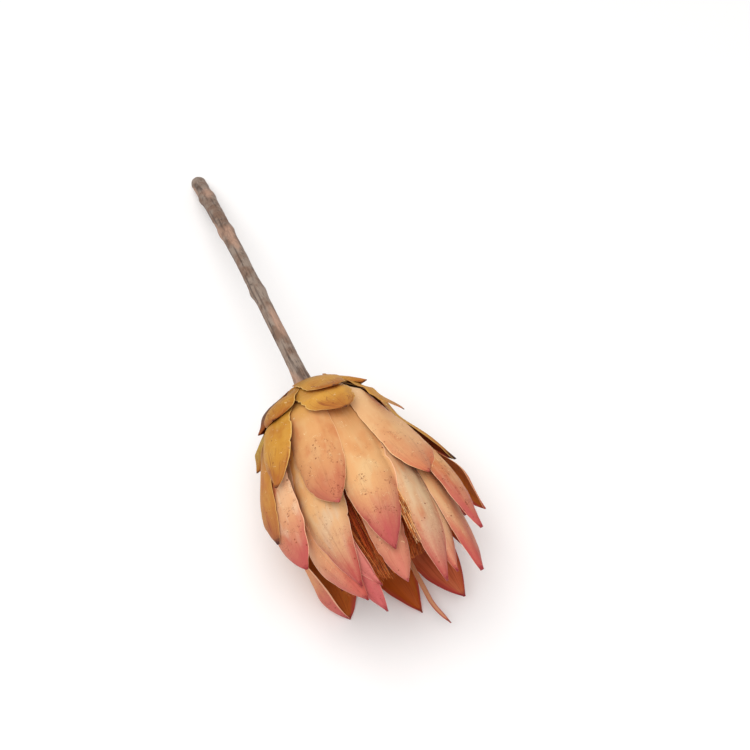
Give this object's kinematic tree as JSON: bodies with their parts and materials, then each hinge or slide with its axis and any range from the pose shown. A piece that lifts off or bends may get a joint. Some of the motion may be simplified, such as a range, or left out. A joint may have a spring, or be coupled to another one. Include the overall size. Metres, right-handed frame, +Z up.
{
  "type": "dried sugarbush flower",
  "caption": "Dried sugarbush flower head with overlapping waxy bracts around a tuft of florets, on a length of cut woody stem, lying on its side.",
  "frame": {"origin": "middle of the flower's footprint, on the surface that it lies on", "axes": "+Y along the stem, from the head's tips towards the stem's cut end; +Z up; +X to the right of someone who looks along +Y"},
  "size_m": [0.0674, 0.2068, 0.061],
  "materials": {
    "ochre_scale": "waxy, semi-gloss, olive-ochre",
    "apricot_bract": "waxy, semi-gloss, apricot with a rose tip",
    "ivory_bract": "waxy, semi-gloss, ivory with a rose tip",
    "rose_bract": "waxy, semi-gloss, rose outside and burnt orange inside",
    "floret_hair": "dry, fine fibres, reddish brown",
    "receptacle_wood": "dry, matt, brown",
    "bark": "rough dry bark, grey-brown, peeled in places; pale at the cut"
  },
  "bodies": {
    "root": {"stem": "bark", "receptacle": "receptacle_wood", "florets": "floret_hair", "scale_basal_1": "ochre_scale", "scale_basal_2": "ochre_scale", "scale_basal_3": "ochre_scale", "scale_basal_4": "ochre_scale", "scale_basal_5": "ochre_scale", "scale_outer_1": "ochre_scale", "scale_outer_2": "ochre_scale", "scale_outer_3": "ochre_scale", "scale_outer_4": "ochre_scale", "scale_outer_5": "ochre_scale", "scale_outer_6": "ochre_scale", "scale_outer_7": "ochre_scale", "scale_inner_1": "ochre_scale", "scale_inner_2": "ochre_scale", "scale_inner_3": "ochre_scale", "scale_inner_4": "ochre_scale", "scale_inner_5": "ochre_scale", "scale_inner_6": "ochre_scale", "bract_short_1": "apricot_bract", "bract_short_2": "apricot_bract", "bract_short_3": "apricot_bract", "bract_short_4": "apricot_bract", "bract_short_5": "apricot_bract", "bract_short_6": "apricot_bract", "bract_short_7": "apricot_bract", "bract_short_8": "apricot_bract", "bract_mid_1": "apricot_bract", "bract_mid_2": "apricot_bract", "bract_mid_3": "apricot_bract", "bract_mid_4": "apricot_bract", "bract_mid_5": "apricot_bract", "bract_mid_6": "apricot_bract", "bract_mid_7": "apricot_bract", "bract_mid_8": "apricot_bract", "bract_long_1": "ivory_bract", "bract_long_2": "ivory_bract", "bract_long_3": "ivory_bract", "bract_long_4": "ivory_bract", "bract_long_5": "ivory_bract", "bract_long_6": "ivory_bract", "bract_long_7": "ivory_bract", "bract_long_8": "ivory_bract", "bract_long_9": "ivory_bract", "bract_inner_1": "rose_bract", "bract_inner_2": "rose_bract", "bract_inner_3": "rose_bract", "bract_inner_4": "rose_bract", "bract_inner_5": "rose_bract", "bract_inner_6": "rose_bract", "bract_inner_7": "rose_bract", "bract_inner_8": "rose_bract", "bract_inner_9": "rose_bract", "bract_strap_1": "rose_bract", "bract_strap_2": "rose_bract", "bract_strap_3": "rose_bract", "bract_strap_4": "rose_bract"}
  },
  "joints": []
}
